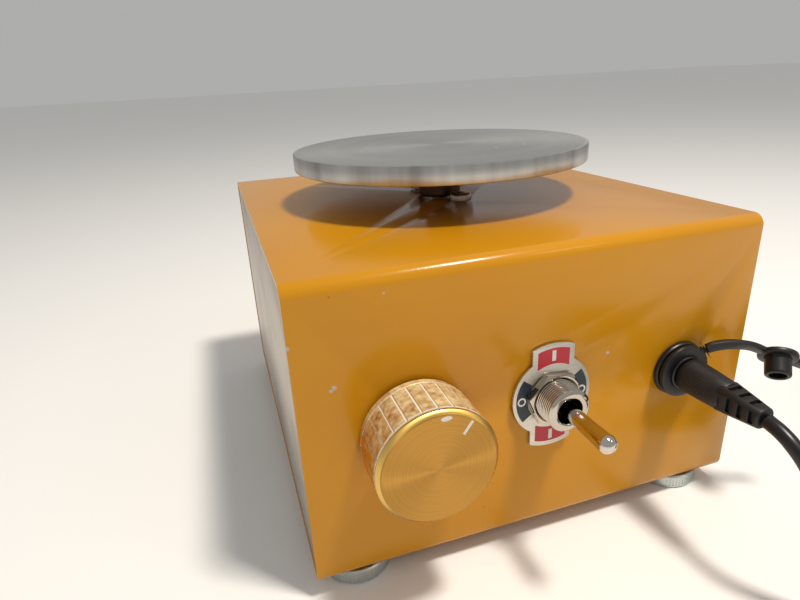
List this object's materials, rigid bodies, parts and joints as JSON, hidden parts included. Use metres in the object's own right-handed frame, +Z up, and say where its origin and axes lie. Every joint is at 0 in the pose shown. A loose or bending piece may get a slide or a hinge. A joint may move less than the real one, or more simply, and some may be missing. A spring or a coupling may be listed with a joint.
{
  "type": "tabletop pottery wheel",
  "caption": "Small electric pottery wheel: a painted steel box on low feet with a flat turned wheel head, speed knob, reversing toggle, capped power socket and plug-in lead.",
  "frame": {"origin": "centre of the bounding box of the wheel without its power lead, on the table under the feet", "axes": "+Z up along the wheel's spin axis, -Y out of the front panel that carries the knob, switch and socket, +X towards the socket side"},
  "size_m": [0.2445, 0.2315, 0.1069],
  "materials": {
    "orange_enamel": "glossy stoved enamel",
    "brushed_sheet": "brushed",
    "turned_aluminium": "fine lathe-turned",
    "gold_anodised": "bright gold anodised",
    "nickel_plate": "bright nickel plate",
    "plain_steel": "zinc plated",
    "dark_steel": "blackened",
    "ferrite": "sintered matt",
    "black_plastic": "moulded satin",
    "black_rubber": "moulded matt",
    "copper_wire": "enamelled copper",
    "brass": "machined",
    "red_plastic": "extruded",
    "black_wire": "extruded",
    "blue_plastic": "moulded satin",
    "board_green": "solder resist"
  },
  "bodies": {
    "housing": {"adapter_blade_left": "nickel_plate", "adapter_blade_right": "nickel_plate", "adapter_body": "black_rubber", "board_capacitor": "black_plastic", "board_heatsink": "turned_aluminium", "board_terminals": "blue_plastic", "brush_terminal_left": "copper_wire", "brush_terminal_right": "copper_wire", "control_board": "board_green", "cord_coil": "black_rubber", "cord_lead": "black_rubber", "cord_tail": "black_rubber", "end_plate_left": "brushed_sheet", "end_plate_right": "brushed_sheet", "foot_back_left": "turned_aluminium", "foot_back_right": "turned_aluminium", "foot_front_left": "turned_aluminium", "foot_front_right": "turned_aluminium", "foot_screw_back_left": "plain_steel", "foot_screw_back_right": "plain_steel", "foot_screw_front_left": "plain_steel", "foot_screw_front_right": "plain_steel", "front_bearing": "plain_steel", "housing_shell": "orange_enamel", "jack_body": "black_plastic", "jack_nut": "nickel_plate", "jack_pin": "nickel_plate", "jack_wire_negative": "black_wire", "jack_wire_positive": "red_plastic", "legend_plate": "brushed_sheet", "magnet_left": "ferrite", "magnet_right": "ferrite", "motor_can": "plain_steel", "motor_end_cap": "black_plastic", "motor_screw_back": "plain_steel", "motor_screw_front": "plain_steel", "motor_wire_negative": "black_wire", "motor_wire_positive": "red_plastic", "plug_body": "black_rubber", "plug_sleeve": "nickel_plate", "pot_body": "black_plastic", "pot_nut": "nickel_plate", "rear_bearing": "plain_steel", "switch_bushing": "nickel_plate", "switch_case": "blue_plastic", "switch_nut": "nickel_plate"},
    "wheel": {"wheel_head": "turned_aluminium", "wheel_hub": "dark_steel", "hub_set_screw": "plain_steel", "motor_shaft": "plain_steel", "armature_core": "plain_steel", "armature_winding": "copper_wire", "commutator": "brass", "motor_fan": "black_plastic"},
    "knob": {"speed_knob": "gold_anodised", "knob_set_screw": "nickel_plate", "pot_shaft": "nickel_plate"},
    "lever": {"switch_lever": "nickel_plate"},
    "cap": {"dust_cap": "black_rubber"}
  },
  "joints": [
    {"name": "wheel_spin", "type": "hinge", "parent": "housing", "child": "wheel", "pos_m": [-0.0083, 0.01335, 0.1], "axis": [0, 0, 1], "continuous": true},
    {"name": "speed_knob_turn", "type": "hinge", "parent": "housing", "child": "knob", "pos_m": [-0.0458, -0.06135, 0.0466], "axis": [0, 1, 0], "range_deg": [-186, 114]},
    {"name": "toggle_tilt", "type": "hinge", "parent": "housing", "child": "lever", "pos_m": [-0.0072, -0.06485, 0.048], "axis": [1, 0, 0], "range_deg": [-13, 13]},
    {"name": "dust_cap_swing", "type": "hinge", "parent": "housing", "child": "cap", "pos_m": [0.0347, -0.06135, 0.0472], "axis": [0, 1, 0], "range_deg": [-50, 75]}
  ]
}
